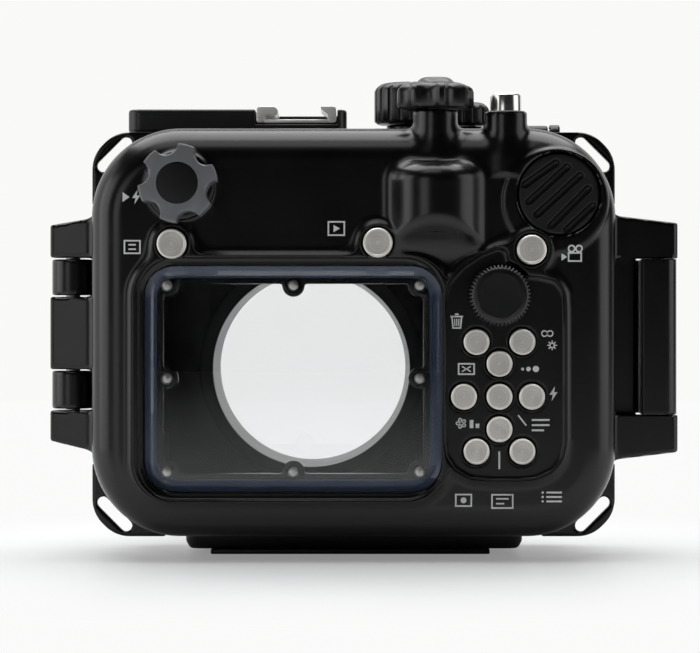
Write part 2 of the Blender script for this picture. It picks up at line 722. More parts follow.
def rear_shell():
    xs = steps((-86.6, 0.64), (20, 0.53), (62, 0.64), 92.2)
    ys = steps((-38.6, 0.9), (-32.6, 0.42), (-26.4, 0.55), (-17.2, 1.4), (0.9, 0.9), 6.8)
    zs = steps((4.4, 0.65), 124.4)
    made = skin("rear_shell_body", rear_field, xs, ys, zs)
    hollow = half_block(-1, -3, REAR - REAR_WALL, WALL, INNER_EDGE)
    rim = [rounded_ring(43.2, 33.5, 11, WINDOW, y) for y in (-28, -21.3)]
    hollow = cut(hollow, stacked("rim", rim))
    bores = [bore("y", at, 1.8, -31.9, -23) for at in (*BOSSES.values(), *KEYS.values())]
    bores += [bore("y", DIAL, 1.8, -33, -23), bore("y", FLASH, 2.3, -35, -23)]
    bores += [bore("y", at, 1.6, -26, -18) for at in SCREWS]
    bores += [bore("z", POWER, 1.8, 108, 120), bore("z", (HINGE, 0), 2.3, 20, 110)]
    bores.append(bore("z", LATCH_AXIS, 1.9, 28.4, 110))
    profile = [(0, 89.4), (10.5, 89.4), (10.5, 103.9), (8, 106.4), (2.3, 106.4), (2.3, 130), (0, 130)]
    stem = lathe("bore", profile, "z", (*STEM, 0), 32)
    keeper = bore("z", POWER, 3.1, 111.6, 114.5)
    crisp(cut(made, hollow, joined("bores", bores), stem, keeper), 60)
    recess = [(x, z) for x, _, z in rounded_ring(RECESS[2], RECESS[3], 10.0, RECESS, 0, 12)]
    paths = (plateau_path(), 0.2), (PANEL, 0.18), (recess, 0.14)
    made = joined("rear_shell_body", [made, *(bead(path, -RAISED, radius) for path, radius in paths)])
    dress(made, "rear_case", "rear_shell", "shell_black")


def lug_form(x, y, z):
    """The plate with the four lugs, and the slots in them."""
    a, b = np.abs(x), np.abs(z - LUG_MIDDLE)
    edge = smax(smax(a - 73.7, b - 57.0, 2.0), (a + b - 124.2) * DIAGONAL, 3.0)
    reach = smax(53 - a, 36.4 - b, 0.6)
    form = smax(smax(edge, reach, 0.6), slab(y, PARTING, 3.0), 0.5)
    a, b = a - 67.4, b - 50.7
    slot = np.hypot(np.maximum(np.abs((a - b) * DIAGONAL) - 4.55, 0), (a + b) * DIAGONAL) - 1.7
    return form, slot


def front_field(x, y, z):
    side = case_side(x, z) + DRAFT * np.clip(y / (FRONT - EDGE), 0, 1)
    form = corner_round(side, y - FRONT, EDGE)
    plate, slot = lug_form(x, y, z)
    form = np.minimum(form, plate)
    web = np.maximum(slab(x, HINGE, WEB_END), slab(y, GAP, 5.9))
    for low, high in FRONT_KNUCKLES:
        form = smin(form, smax(web, slab(z, low, high), 0.6), 1.2)
    catch = smax(smax(slab(x, LATCH_REACH[0], 79.75), slab(y, 1.2, 5.8), 0.2), slab(z, 38.2, 84.2), 0.8)
    form = smin(form, catch, 1.6)
    for at, radius, top in ((MODE, 7.0, 121.8), (ZOOM, 4.5, 121.7)):
        form = smin(form, post(x, y, z, at, radius, 108, top, 0.8), 1.8)
    well = np.maximum(np.maximum(slab(x, 44.0, 56.0), 9.1 - y), 117.0 - z)
    form = smax(form, -well, 0.6)
    beside = np.abs(x - LEVER)
    ear = np.minimum(disc(y, z, (LEVER_AXIS[0], 119.1), 2.6),
                     np.maximum(np.abs(y - LEVER_AXIS[0]) - 2.6, slab(z, 112, 119.1)))
    ear = smax(ear, np.maximum(beside - 9.0, 6.0 - beside), 0.5)
    form = smin(form, ear, 0.6)
    # the port's seat, with a shallow ring round it, and the grip beside it
    port = disc(x, z, PORT, 0)
    ring = smax(np.abs(port - 42.6) - 0.7, GRIP_FLOOR - y, 0.5)
    form = smax(form, -ring, 0.6)
    for at in GRIP:
        half = 24.0 - (at - GRIP[0]) * 0.35
        groove = np.hypot(x - at, np.maximum(np.abs(z - 60.0) - half, 0)) - 1.3
        form = smax(form, -smax(groove, GRIP_FLOOR - y, 0.5), 0.7)
    form = smax(form, -(port - 32.6), 0.5)
    form = clear_of(np.maximum(form, -slot), REAR_KNUCKLES, x, y, z)
    form = np.maximum(form, PARTING - y)
    for low, high in FRONT_KNUCKLES:
        form = np.minimum(form, smax(disc(x, y, (HINGE, 0), BARREL), slab(z, low, high), 0.6))
    return form


def front_shell():
    xs = steps((-86.6, 0.6), 82.0)
    ys = steps((-6.8, 0.9), (-0.6, 0.55), (6.2, 1.2), (24, 0.8), 36)
    zs = steps((3.4, 0.6), (116, 0.5), 123.4)
    made = skin("front_shell_body", front_field, xs, ys, zs)
    hollow = half_block(1, -3, FRONT - FRONT_WALL, WALL, INNER_EDGE)
    hollow = cut(hollow, bore("z", TRIPOD, 8, 4, 13.7, 48))
    bores = [
        bore("z", TRIPOD, 5.3, 0, 10.8, 48), bore("z", MODE, 2.3, 108, 124), bore("z", ZOOM, 2.1, 108, 124),
        bore("z", PLUNGER, 2.1, 108, 120), bore("z", (HINGE, 0), 2.3, 32.4, 92.2),
        bore("x", LEVER_AXIS, 1.5, 38, 62),
    ]
    groove = [rounded_ring(WIDTH / 2 - i, HEIGHT / 2 - i, CORNER - i, (0, MIDDLE), y)
              for i, y in ((1.0, -2), (1.0, 2.25), (3.0, 2.25), (3.0, -2))]
    crisp(cut(made, hollow, joined("bores", bores), ring_band("groove", groove)), 60)
    dress(made, "front_case", "front_shell", "shell_black")


def ring_band(name, rings):
    """A closed band through four rings."""
    count = len(rings[0])
    points = [p for ring in rings for p in ring]
    faces = []
    for row in range(len(rings)):
        below, above = row * count, (row + 1) % len(rings) * count
        for i in range(count):
            j = (i + 1) % count
            faces.append((below + i, below + j, above + j, above + i))
    return crisp(outward(mesh_object(name, points, faces)))


# Knobs

def polar(name, reach, axis, at, levels, count, sharp=40):
    """A knob: reach gives its radius at each angle, levels its insets and flattening along the axis."""
    place = AXES[axis]
    angles = np.arange(count) * TAU / count
    radii = reach(angles)
    rings = []
    for along, inset, calm in levels:
        r = (radii - inset) * (1 - calm) + (radii.min() - inset) * calm
        rings.append([tuple(np.add(place(ri, a, along), at)) for ri, a in zip(r, angles)])
    return stacked(name, rings, sharp)


def star(angles, outer, count, turn, distance, radius, soft):
    """A round knob with scallops cut from its rim."""
    reach = np.full(len(angles), outer)
    for i in range(count):
        away = np.abs((angles - turn - TAU * (i + 0.5) / count + math.pi) % TAU - math.pi)
        inside = radius ** 2 - (distance * np.sin(away)) ** 2
        hit = distance * np.cos(away) - np.sqrt(np.maximum(inside, 0))
        hit = np.where((inside > 0) & (np.cos(away) > 0), hit, outer + 5)
        reach = smin(reach, hit, soft)
    return reach


def flash_knob():
    at = (FLASH[0], 0, FLASH[1])
    reach = lambda angles: star(angles, 10.5, 6, math.radians(16), 11.35, 3.45, 0.5)
    levels = [(-32.0, 1.0, 0), (-32.4, 0.35, 0), (-33.0, 0, 0), (-41.4, 0, 0), (-41.75, 0.1, 0),
              (-41.95, 0.35, 0), (-42.0, 0.7, 0)]
    knob = polar("flash_knob_body", reach, "y", at, levels, 192)
    seat = cylinder("seat", "y", at, 5.6, -45, -40.5, 64)
    shaft = bore("y", FLASH, 2.3, -37.0, -30)
    dress(crisp(cut(knob, seat, shaft)), "flash_knob", "flash_knob", "anodised_black", METAL)
    profile = rounded_profile([(0, -40.8), (5.5, -40.8), (5.5, -41.7), (0, -41.6)], [0, 0, 0.2, 0])
    cap = lathe("flash_knob_cap_disc", profile, "y", at)
    dress(cap, "flash_knob", "flash_knob_cap", "knob_black")


def control_dial():
    at = (DIAL[0], 0, DIAL[1])

    def reach(angles):
        wave = (angles * 48 / TAU) % 1
        tooth = np.clip(np.abs(wave - 0.5) * 4 - 0.5, 0, 1)
        return 8.25 - 0.45 * tooth

    levels = [(-29.3, 0.5, 0), (-29.6, 0, 0), (-35.3, 0, 0), (-35.7, 0.2, 0.3), (-36.0, 0.4, 0.8),
              (-36.2, 0.6, 1.0), (-36.3, 0.9, 1.0)]
    dial = polar("control_dial_body", reach, "y", at, levels, 384, 30)
    dish = lathe("dish", [(0, -36.05), (5.9, -36.15), (6.3, -38), (0, -38)], "y", at)
    crisp(cut(dial, bore("y", DIAL, 1.8, -33.3, -28), dish), 30)
    dress(dial, "control_dial", "control_dial", "knob_black")


def ev_knob():
    reach = lambda angles: star(angles, 10.5, 8, math.radians(8), 12.4, 3.9, 1.0)
    levels = [(123.2, 1.2, 0), (123.6, 0.4, 0), (124.4, 0, 0), (127.8, 0, 0), (128.8, 0.35, 0),
              (129.5, 1.0, 0.1), (130.0, 2.0, 0.3), (130.35, 3.1, 0.7), (130.6, 3.4, 1.0), (131.1, 3.9, 1.0),
              (131.5, 4.4, 1.0), (131.75, 5.0, 1.0), (131.8, 5.6, 1.0)]
    knob = polar("ev_knob_body", reach, "z", (*STEM, 0), levels, 192)
    dress(crisp(cut(knob, bore("z", STEM, 2.3, 120, 127.7))), "ev_knob", "ev_knob", "knob_black")


def fluted(name, at, radius, low, high, flutes, depth, socket, shaft):
    """A tall knob with flutes and a line across its top that points to the rear."""
    def reach(angles):
        return radius - depth * np.clip(1.6 * np.cos(angles * flutes) - 0.2, 0, 1) ** 0.7

    levels = [(low, 0.7, 0.6), (low + 0.6, 0, 0.3), (low + 1.0, 0, 0), (high - 2.4, 0, 0)]
    levels.append((high - 1.6, 0.12, 0.5))
    levels += [(high - drop, inset, 1.0) for drop, inset in ((0.9, 0.5), (0.3, 1.3), (0.05, 2.3), (0, 3.0))]
    knob = polar(name + "_body", reach, "z", (*at, 0), levels, flutes * 12)
    hole = bore("z", at, shaft + GAP, low - 2, low + socket)
    back = (at[1] - radius + 1.2, at[1] - 3.2)
    line = box("line", (at[0] - 0.35, at[0] + 0.35), back, (high - 0.3, high + 1), 0)
    dress(crisp(cut(knob, hole, line)), name, name, "knob_black")


# Steel pieces

def push_button(name, x, z, radius, face):
    """A button's cap from its outer face forward, then its stem and keeper inside the case."""
    top = face - 2.0
    profile = [(0, top + 0.16), (radius - 0.75, top + 0.12), (radius - 0.6, top), (radius - 0.25, top)]
    profile += [(radius - 0.05, top + 0.2), (radius, top + 0.5), (radius, face - 0.05), (radius - 0.1, face)]
    profile += [(1.5, face), (1.5, -24.7), (2.6, -24.7), (2.6, -23.9), (0, -23.9)]
    dress(lathe(name + "_cap", profile, "y", (x, 0, z), 64, 25), name, name, "brushed_steel", CAP)


def power_button():
    profile = [(0, 113.4), (2.8, 113.4), (2.8, 114.2), (1.5, 114.2), (1.5, 122.2), (4.05, 122.2),
               (4.25, 122.4), (4.25, 126.7), (4.13, 127.0), (3.85, 127.3), (3.0, 127.3), (2.9, 127.2),
               (0, 127.15)]
    cap = lathe("power_button_cap", profile, "z", (*POWER, 0), 64, 25)
    dress(cap, "power_button", "power_button", "brushed_steel", POLISHED)


def power_spring():
    """The coil under the power button, which shortens as the button is pressed."""
    low, high, pressed, radius, wire, turns, sides = 117.8, 121.9, 120.4, 2.6, 0.3, 4, 10
    count = turns * 24
    rings = []
    for i in range(count + 1):
        angle, middle = TAU * turns * i / count, low + wire + (high - low - 2 * wire) * i / count
        ring = []
        for b in (TAU * k / sides for k in range(sides)):
            out = radius + wire * math.cos(b)
            ring.append((POWER[0] + out * math.cos(angle), POWER[1] + out * math.sin(angle),
                         middle + wire * math.sin(b)))
        rings.append(ring)
    coil = stacked("power_spring_coil", rings)
    dress(coil, "rear_case", "power_spring", "brushed_steel")
    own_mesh(coil)


def window_screws():
    profile = [(0, -26.8), (0.7, -26.75), (1.3, -26.5), (1.45, -26.1), (1.45, -21.0), (2.25, -21.0),
               (2.4, -20.85), (2.4, -19.85), (2.15, -19.6), (0, -19.6)]
    for i, (x, z) in enumerate(SCREWS):
        screw = lathe(f"window_screw_{i + 1}_body", profile, "y", (x, 0, z), 32, 30)
        socket = prism("socket", hexagon(x, z, 1.25), "y", -20.5, -19, 0)
        dress(crisp(cut(screw, socket), 30), "rear_case", f"window_screw_{i + 1}", "brushed_steel")


def hexagon(x, z, radius):
    return [(x + radius * math.cos(TAU * i / 6), z + radius * math.sin(TAU * i / 6)) for i in range(6)]


# Window

def window_pane():
    levels = [(-24.6, 0.25), (-24.85, 0), (-27.9, 0), (-28.2, 0.12), (-29.45, 2.2), (-29.6, 2.5)]
    rings = [rounded_ring(40.2 - i, 30.5 - i, 8 - i * 0.8, WINDOW, y, 12) for y, i in levels]
    pane = stacked("rear_window_pane", rings, 14)
    holes = joined("holes", [bore("y", at, 1.6, -27.1, -23) for at in SCREWS])
    dress(crisp(cut(pane, holes), 14), "rear_case", "rear_window", "clear_pane")


def window_gasket():
    outer, inner = (39.9, 30.2, 7.7), (37.1, 27.4, 5.6)
    levels = ((outer, -24.3), (outer, -24.55), (inner, -24.55), (inner, -24.3))
    rings = [rounded_ring(*size, WINDOW, y, 12) for size, y in levels]
    dress(ring_band("window_gasket_band", rings), "rear_case", "window_gasket", "seal_grey")


# Thumb rest

GROOVES = [((46.3, 102.3), (54.7, 108.2)), ((47.4, 97.7), (57.7, 107.1)), ((49.6, 94.2), (61.2, 104.7)),
           ((53.4, 91.2), (63.4, 101.2)), ((57.7, 90.1), (64.7, 96.6))]


def thumb_field(x, y, z):
    form = smax(disc(x, z, PAD, 11.0), slab(y, -29.5, -27.9), 0.8)
    for a, b in GROOVES:
        ax, az = b[0] - a[0], b[1] - a[1]
        t = np.clip(((x - a[0]) * ax + (z - a[1]) * az) / (ax * ax + az * az), 0, 1)
        groove = np.sqrt((x - a[0] - t * ax) ** 2 + (z - a[1] - t * az) ** 2 + (y + 29.5) ** 2 * 0.6) - 1.05
        form = smax(form, -groove, 0.25)
    return form


def moulded(name, suffix, field, spans, body, slot, *tools):
    """A small piece from a field, cut by tools and put in the place of its solid."""
    made = skin(name + suffix, field, *(steps((low, pitch), high) for low, pitch, high in spans))
    dress(crisp(cut(made, *tools), 60), body, name, slot)


# Front pieces

def port():
    at = (PORT[0], 0, PORT[1])
    barrel = [(28.8, 30.2), (29.0, 30.0), (32.3, 30.0), (32.3, 34.3), (35.4, 34.3), (35.4, 36.4), (37.8, 36.4),
              (37.8, 34.3), (39.7, 34.3), (40.0, 34.6), (40.0, 37.4), (39.6, 38.0), (38.8, 38.3), (36.0, 38.3),
              (35.4, 38.6), (35.0, 39.3), (35.0, 46.0)]
    for along in (46.0 + 1.8 * i for i in range(9)):
        barrel += [(35.0, along), (34.5, along + 0.3), (34.5, along + 0.9), (35.0, along + 1.2)]
    barrel += [(35.0, 66.5), (34.6, 67.0), (34.6, 67.6), (35.0, 68.0), (35.0, 69.0), (34.3, 69.8),
               (33.4, 70.0), (32.3, 70.0), (32.3, 63.7), (28.3, 63.7), (28.2, 63.2)]
    body = lathe("port_barrel_body", dedupe(barrel), "y", at, 128, 30)
    dress(body, "front_case", "port_barrel", "anodised_black")
    ring = [(29.6, 68.3), (32.0, 68.3), (32.0, 69.8), (31.8, 70.0), (31.0, 70.0), (30.4, 69.7), (29.9, 69.0)]
    ring = lathe("port_retaining_ring_body", ring, "y", at, 128, 30)
    notches = [bore("y", round_port(31.1, a), 0.55, 69.3, 72, 16) for a in (0, math.pi)]
    crisp(cut(ring, joined("notches", notches)), 30)
    dress(ring, "front_case", "port_retaining_ring", "anodised_black")
    glass = [(0, 64.0), (31.6, 64.0), (32.0, 64.3), (32.0, 67.7), (31.6, 68.0), (0, 68.0)]
    glass = lathe("port_glass_disc", glass, "y", at, 128, 30)
    dress(glass, "front_case", "port_glass", "clear_pane", LENS)
    profile = [(0, 38.35), (1.5, 38.35), (1.5, 39.3), (1.3, 39.5), (0.75, 39.5), (0.7, 38.9), (0, 38.9)]
    screws = []
    for x, z in (round_port(37.4, TAU * (i + 0.5) / 6) for i in range(6)):
        screws.append(lathe("screw", profile, "y", (x, 0, z), 24, 30))
    dress(joined("port_screws", screws), "front_case", [], "brushed_steel")


def round_port(radius, angle):
    """A place in X and Z on a circle round the port's axis."""
    return PORT[0] + radius * math.cos(angle), PORT[1] + radius * math.sin(angle)


def dedupe(profile):
    out = []
    for p in profile:
        if not out or math.dist(p, out[-1]) > 1e-4:
            out.append(p)
    return out


def shoe_field(x, y, z):
    plan = rect(x + 32.95, y - 13, 31.05, 9, 3.6)
    body = smax(plan, slab(z, 119.1, 125.6), 0.9)
    seat = np.maximum(np.maximum(slab(x, -27.8, -4.6), y - 20), 121.4 - z)
    rise = np.maximum(slab(x, -27.8, -4.6), np.maximum(124.9 - z, 19.9 - y))
    return smax(body, -np.minimum(seat, rise), 0.5)


def cold_shoe():
    spans = (-65, 0.5, -1), (3.2, 0.5, 22.8), (118.4, 0.4, 126.2)
    moulded("cold_shoe_block", "_body", shoe_field, spans, "front_case", "anodised_black")
    left, right, low, high, wall = -27.5, -4.9, 121.7, 126.4, 2.2
    back, front, lip, under = 4.0, 19.7, 6.1, 124.0
    seat = box("cold_shoe_rail_sheet", (left + 1, right - 1), (back + 0.3, front), (low, low + 1.0), 0.2)
    crisp(cut(seat, joined("holes", [bore("z", (x, 12), 1.4, 120, 124) for x in (-18.0, -13.5)])))
    left_lip = [(left, low), (left, high), (left + lip - 0.8, high), (left + lip, high - 1.1),
                (left + lip, under), (left + wall, under), (left + wall, low)]
    right_lip = [(right, low), (right, high), (right - 4.4, high), (right - 4.4, high - 0.7),
                 (right - wall - 0.2, under), (right - wall, low)]
    paths = [rounded_path(outline, 0.9, 4) for outline in (left_lip, right_lip)]
    lips = [prism("lip", path, "y", back, front, 0.7, 4) for path in paths]
    rail = joined("cold_shoe_rail_sheet", [seat, *lips])
    dress(rail, "front_case", "cold_shoe_rail", "brushed_steel", RAIL)


def base():
    rings = []
    for z, inset in ((1.5, 1.4), (2.0, 0.9), (3.4, 0.15), (5.3, 0), (5.7, 0.3)):
        ring = rounded_ring(47.55 - inset, 17 - inset, 4 - inset * 0.5, (0.15, TRIPOD[1]), 0, 6)
        rings.append([(x, y, z) for x, _, y in ring])
    plate = cut(stacked("base_plate_body", rings), bore("z", TRIPOD, 5.3, 0, 8, 48))
    dress(crisp(plate, 30), "front_case", "base_plate", "anodised_black")
    for name, back in (("rear_foot", -2), ("front_foot", 24)):
        foot = box(name + "_strip", (-40.2, 38.3), (back + 0.05, back + 7.95), (0, 1.5), 0.4)
        across = (back + 1.2, back + 6.8)
        ribs = [box("rib", (x - 0.5, x + 0.5), across, (-1, 0.35), 0) for x in range(-36, 36, 4)]
        dress(crisp(cut(foot, joined("ribs", ribs))), "front_case", name, "rubber_black")
    profile = [(3.2, 1.9), (3.6, 1.5), (4.7, 1.5), (5.0, 1.8), (5.0, 10.5), (3.2, 10.5)]
    for along in (10.0 - 0.85 * i for i in range(9)):
        profile += [(3.2, along), (3.45, along - 0.25), (3.2, along - 0.5)]
    bush = lathe("tripod_bush_body", dedupe(profile), "z", (*TRIPOD, 0), 48, 25)
    dress(bush, "front_case", "tripod_bush", "brass_yellow")


def pin(name, body, axis, at, radius, low, high, chamfer):
    """A steel pin with chamfered ends."""
    inner = radius - chamfer
    profile = [(0, low), (inner, low), (radius, low + chamfer)]
    profile += [(radius, high - chamfer), (inner, high), (0, high)]
    dress(lathe(name + "_rod", profile, axis, at, 32), body, name, "brushed_steel")


def lever_field(x, y, z):
    plate = np.maximum(slab(y, LEVER_AXIS[0], 39.5), slab(z, 119.1, 121.5))
    pad = [(36.5, 119.1), (36.5, 112.4), (40.8, 109.8), (46.0, 109.8), (46.0, 112.4), (41.7, 118.9),
           (39.1, 121.5)]
    form = smin(plate, polygon(y, z, pad), 1.5)
    form = np.minimum(form, disc(y, z, LEVER_AXIS, 2.1))
    form = smax(form, slab(x, 44.3, 55.7), 1.0)
    for along in (28, 31, 34):
        form = smax(form, -disc(y, z, (along, 121.9), 0.75), 0.2)
    return np.maximum(form, -disc(y, z, LEVER_AXIS, 1.5))


def shutter_lever():
    spans = (43.6, 0.4, 56.4), (9.4, 0.4, 46.6), (109.2, 0.4, 122.2)
    moulded("shutter_lever", "_body", lever_field, spans, "shutter_lever", "anodised_black")
    profile = [(0, 105.5), (1.6, 105.5), (1.8, 105.7), (1.8, 110.8), (3, 110.8), (3, 111.8), (1.8, 111.8),
               (1.8, 118.4), (1.4, 118.75), (0, 118.8)]
    rod = lathe("shutter_plunger_rod", profile, "z", (*PLUNGER, 0), 32, 30)
    dress(rod, "shutter_plunger", "shutter_plunger", "brushed_steel")


# Latch

LATCH_OUTLINE = [(79.9, -9.0), (90.4, -9.0), (90.4, 9.4), (79.9, 9.4), (79.9, 6.2), (86.0, 6.2), (86.0, -0.3),
                 (80.3, -0.3), (80.3, -9)]


def latch_field(x, y, z):
    form = polygon(x, y, LATCH_OUTLINE)
    form = smax(form, corner_round(x - 90.4, -y - 9.0, 4.2), 0.2)
    form = smax(form, corner_round(x - 90.4, y - 9.4, 1.2), 0.2)
    form = smax(form, slab(z, 39.45, 82.85), 0.15)
    pocket = np.maximum(np.maximum(88.6 - x, slab(y, -1.1, 4.5)), slab(z, 57.7, 70.3))
    return smax(form, -pocket, 0.4)


def slider_field(x, y, z):
    form = smax(smax(slab(x, 88.9, 90.9), slab(y, -0.8, 4.2), 0.5), slab(z, 58, 66), 0.5)
    for at in (59.8, 61.2, 62.6, 64.0):
        form = smax(form, -disc(x, z, (91.1, at), 0.5), 0.15)
    return form


def latch():
    spans = (79.2, 0.4, 91.2), (-9.8, 0.4, 10.2), (38.8, 0.5, 83.5)
    hole = bore("z", LATCH_AXIS, 1.9, 38, 84)
    moulded("latch_lever", "_body", latch_field, spans, "latch_lever", "shell_black", hole)
    spans = (88.4, 0.2, 91.4), (-1.3, 0.25, 4.7), (57.5, 0.2, 66.5)
    moulded("lock_slider", "_body", slider_field, spans, "lock_slider", "anodised_black")


# Printed marks on the rear face: plain pictograms that follow the surface

def surface(x, z):
    """The depth of the rear shell's outer surface at points."""
    y = np.full(x.shape, -43.0)
    for _ in range(60):
        y += 0.8 * rear_field(x, y, z)
    return y


def stroke(path, width, closed):
    """Pairs of points along both sides of a line."""
    path = [np.array(p, float) for p in path]
    if closed:
        path.append(path[0])
    fine = []
    for a, b in zip(path, path[1:]):
        count = max(1, round(np.linalg.norm(b - a) / 0.5))
        fine += [a + (b - a) * i / count for i in range(count)]
    if not closed:
        fine.append(path[-1])
    pairs = []
    for i, p in enumerate(fine):
        before = fine[i - 1] if closed or i else p
        after = fine[(i + 1) % len(fine)] if closed or i + 1 < len(fine) else p
        first, last = [way / (np.linalg.norm(way) or 1) for way in (p - before, after - p)]
        way = first + last
        way = way / np.linalg.norm(way)
        reach = width / 2 / max(0.5, float(way @ (last if last.any() else first)))
        side = np.array((-way[1], way[0])) * reach
        pairs.append((p + side, p - side))
    return "line", pairs, closed


def lines(width, *paths):
    return [stroke(path, width, False) for path in paths]


def loops(width, *paths):
    return [stroke(path, width, True) for path in paths]


def bars(width, *spans):
    """Level lines, each from one X to another at a height."""
    return lines(width, *([(a, z), (b, z)] for a, b, z in spans))


def blobs(*outlines):
    """Filled areas."""
    return [("area", [np.array(p, float) for p in outline], True) for outline in outlines]


def ring_of(radius, at=(0, 0), count=20):
    angles = [TAU * i / count for i in range(count)]
    return [(at[0] + radius * math.cos(a), at[1] + radius * math.sin(a)) for a in angles]


def frame_of(width, height, at=(0, 0)):
    w, h = width / 2, height / 2
    return [(at[0] + x, at[1] + z) for x, z in ((-w, -h), (w, -h), (w, h), (-w, h))]


def flat_points(shape, at):
    """The points of a stroke or area in X and Z. An area also has its middle."""
    kind, rows, _ = shape
    flat = [q for row in rows for q in row] if kind == "line" else rows + [sum(rows) / len(rows)]
    return np.array(flat) + np.array(at)


def solid_mark(shape, flat, depth):
    """A thin closed body for one stroke or filled area."""
    kind, rows, closed = shape
    count = len(flat)
    top = np.stack([flat[:, 0], depth - 0.05, flat[:, 1]], 1)
    bottom = np.stack([flat[:, 0], depth + 0.15, flat[:, 1]], 1)
    faces = []
    if kind == "line":
        for i in range(len(rows) if closed else len(rows) - 1):
            a, b = 2 * i, 2 * i + 1
            c, d = 2 * ((i + 1) % len(rows)), 2 * ((i + 1) % len(rows)) + 1
            faces += [(a, b, d, c), (a + count, b + count, d + count, c + count)]
            faces += [(a, c, c + count, a + count), (b, d, d + count, b + count)]
        if not closed:
            last = 2 * (len(rows) - 1)
            faces += [(0, 1, 1 + count, count), (last, last + 1, last + 1 + count, last + count)]
    else:
        for i in range(count - 1):
            j = (i + 1) % (count - 1)
            faces += [(i, j, count - 1), (i + count, j + count, 2 * count - 1), (i, j, j + count, i + count)]
    return outward(mesh_object("mark", np.concatenate([top, bottom]), faces))


PEN, BOLD, THIN, FINE = 0.42, 0.5, 0.34, 0.3
BOLT = [(0.35, 2.0), (-1.1, -0.25), (-0.2, -0.25), (-0.55, -2.0), (1.1, 0.45), (0.15, 0.45)]
SPOKES = [((0.75 * math.cos(a), 0.75 * math.sin(a)), (1.3 * math.cos(a), 1.3 * math.sin(a)))
          for a in (TAU * i / 8 for i in range(8))]
PETALS = [ring_of(0.4, (-1.9 + 0.95 * math.cos(a), 0.2 + 0.95 * math.sin(a)), 10)
          for a in (TAU * (i + 0.5) / 5 for i in range(5))]
LEVELS = (1.2, 0, -1.2)
# Each mark's place in X and Z, and its strokes and areas round that place
MARKS = {
    "flash_mark": ((-59.9, 99.0), blobs([(-2.6, 1.3), (-2.6, -1.3), (-0.7, 0)],
                                        [(x + 1.1, z) for x, z in BOLT])),
    "function_mark": ((-59.9, 85.5), loops(PEN, frame_of(4.2, 3.4)) + bars(
        PEN, (-1.0, 1.0, 0.6), (-1.0, 1.0, -0.6))),
    "playback_mark": ((-4.7, 90.5), loops(PEN, frame_of(4.3, 3.6)) + blobs(
        [(-0.75, 0.95), (-0.75, -0.95), (1.0, 0)])),
    "movie_mark": ((60.6, 83.7), loops(PEN, frame_of(3.4, 2.2, (-0.8, -0.9)), ring_of(0.85, (-1.7, 1.35)),
                                       ring_of(0.85, (0.3, 1.35))) + blobs(
        [(-2.9, -0.9), (-4.4, 0.1), (-4.4, -1.9)])),
    "delete_mark": ((27.9, 65.5), bars(PEN, (-1.7, 1.7, 1.2), (-0.5, 0.5, 1.8)) + lines(
        PEN, [(-1.3, 1.0), (-1.0, -1.9), (1.0, -1.9), (1.3, 1.0)]) + lines(
        FINE, [(0, 0.6), (0, -1.4)], [(-0.6, 0.6), (-0.5, -1.4)], [(0.6, 0.6), (0.5, -1.4)])),
    "link_mark": ((52.4, 62.1), loops(THIN, ring_of(0.75, (-0.75, 0)), ring_of(0.75, (0.75, 0)))),
    "gear_mark": ((53.7, 58.9), loops(THIN, ring_of(0.6)) + lines(THIN, *SPOKES)),
    "frame_mark": ((30.5, 52.5), loops(PEN, frame_of(4.2, 2.8)) + lines(
        THIN, [(-1.2, 0.7), (1.2, -0.7)], [(-1.2, -0.7), (1.2, 0.7)])),
    "speed_mark": ((47.6, 52.5), blobs(ring_of(0.42, (-1.9, 0), 12), ring_of(0.62, (-0.3, 0), 14),
                                       ring_of(0.85, (1.7, 0), 16))),
    "bolt_mark": ((54.1, 45.8), blobs(BOLT)),
    "macro_mark": ((31.0, 37.6), loops(THIN, ring_of(0.5, (-1.9, 0.2), 12)) + loops(FINE, *PETALS) + blobs(
        frame_of(1.0, 2.2, (0.9, 0)), frame_of(1.0, 1.2, (2.5, -0.5)))),
    "divider_mark": ((45.6, 38.6), lines(0.4, [(-1.1, 1.4), (1.1, -1.4)])),
    "list_mark": ((50.6, 37.3), bars(BOLD, (-2.4, 2.4, 1.4), (-2.4, 2.4, 0), (-2.4, 0.9, -1.4))),
    "line_mark": ((39.4, 27.8), lines(BOLD, [(0, -2.4), (0, 2.4)])),
    "screen_mark": ((29.7, 17.0), loops(PEN, frame_of(4.2, 3.1)) + blobs(ring_of(0.8))),
    "display_mark": ((40.2, 16.7), loops(PEN, frame_of(5.6, 3.6)) + bars(
        PEN, (-1.7, 1.7, 0.7), (-1.7, 0.5, -0.6))),
    "menu_mark": ((53.7, 17.9), bars(BOLD, *((-1.6, 2.6, z) for z in LEVELS)) + blobs(
        *(ring_of(0.32, (-2.6, z), 10) for z in LEVELS))),
}


def printed_marks():
    flats = [flat_points(shape, at) for at, shapes in MARKS.values() for shape in shapes]
    every = np.concatenate(flats)
    depths = np.split(surface(every[:, 0], every[:, 1]), np.cumsum([len(flat) for flat in flats])[:-1])
    rows = iter(zip(flats, depths))
    for name, (at, shapes) in MARKS.items():
        made = joined(name, [solid_mark(shape, *next(rows)) for shape in shapes])
        made.data.shade_flat()
        made.data.materials.append(INK)
        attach(made, "rear_case")


